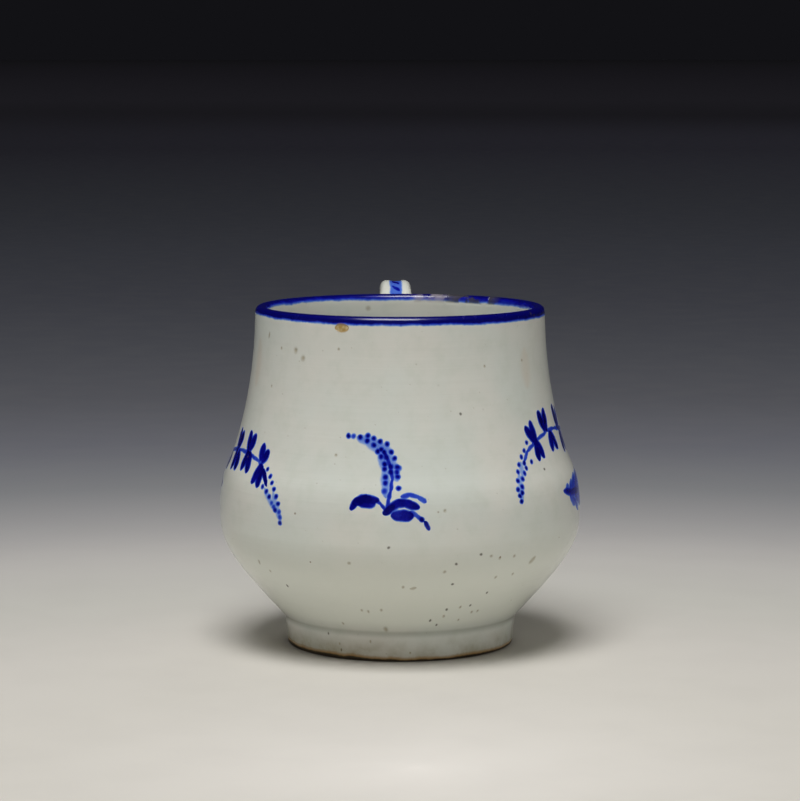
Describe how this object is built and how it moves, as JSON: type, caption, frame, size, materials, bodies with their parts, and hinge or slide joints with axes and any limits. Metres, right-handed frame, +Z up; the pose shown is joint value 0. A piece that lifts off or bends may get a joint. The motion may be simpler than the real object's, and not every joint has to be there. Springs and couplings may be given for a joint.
{
  "type": "custard cup",
  "caption": "Footed pear-shaped custard cup in glazed pottery, with a blue rim, brush-painted blue sprigs and a strap handle luted to neck and belly.",
  "frame": {"origin": "on the table, below the middle of the cup and handle taken together", "axes": "+Z up the cup's axis from foot to lip, +Y from the cup towards its handle, +X to the right when the handle is behind"},
  "size_m": [0.0724, 0.0875, 0.07],
  "materials": {
    "body_glaze": "glossy off-white glaze with cobalt blue brushwork",
    "handle_glaze": "glossy off-white glaze with blue dashes along the back",
    "slip_glaze": "glossy off-white glaze pooled over the luted joint"
  },
  "bodies": {
    "root": {"cup_body": "body_glaze", "handle": "handle_glaze", "upper_slip_joint": "slip_glaze", "lower_slip_joint": "slip_glaze"}
  },
  "joints": []
}
